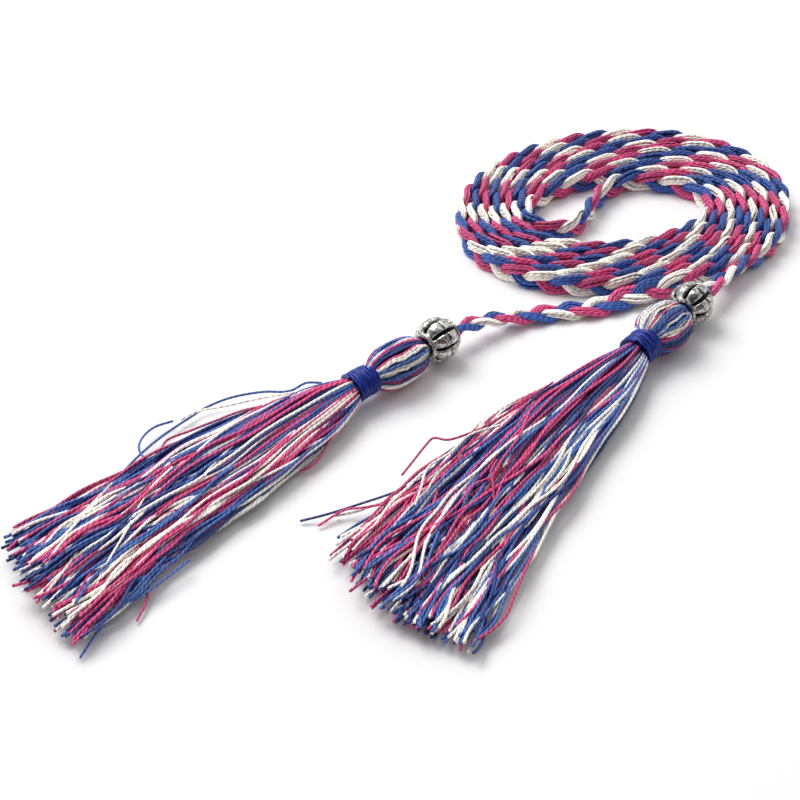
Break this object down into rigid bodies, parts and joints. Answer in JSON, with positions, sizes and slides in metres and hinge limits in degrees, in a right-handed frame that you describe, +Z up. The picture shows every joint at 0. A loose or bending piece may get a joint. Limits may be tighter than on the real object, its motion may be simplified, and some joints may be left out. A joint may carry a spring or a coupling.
{
  "type": "braided_tassel_belt",
  "caption": "Three-colour braided cord belt in an oval coil, with antique-silver fluted beads and long thread tassels bound in royal blue",
  "frame": {"origin": "bottom centre of the bounding box of the belt as it lies, on the surface that it rests on", "axes": "+Z up from that surface; the coil lies towards +X +Y and both tassels point towards -X -Y"},
  "size_m": [0.2206, 0.2346, 0.0135],
  "materials": {
    "cotton_blue": "blue mercerised cotton, parallel two-ply threads",
    "cotton_pink": "hot pink mercerised cotton, parallel two-ply threads",
    "cotton_white": "off-white mercerised cotton, parallel two-ply threads",
    "antique_silver": "polished silver-coloured metal with dark antiqued grooves",
    "tassel_threads": "mixed blue, pink and off-white two-ply cotton threads",
    "satin_binding": "royal blue satin thread, wound close"
  },
  "bodies": {
    "root": {"strand_blue": "cotton_blue", "strand_pink": "cotton_pink", "strand_white": "cotton_white", "bead_left": "antique_silver", "bead_right": "antique_silver", "tassel_left": "tassel_threads", "tassel_right": "tassel_threads", "binding_left": "satin_binding", "binding_right": "satin_binding"}
  },
  "joints": []
}
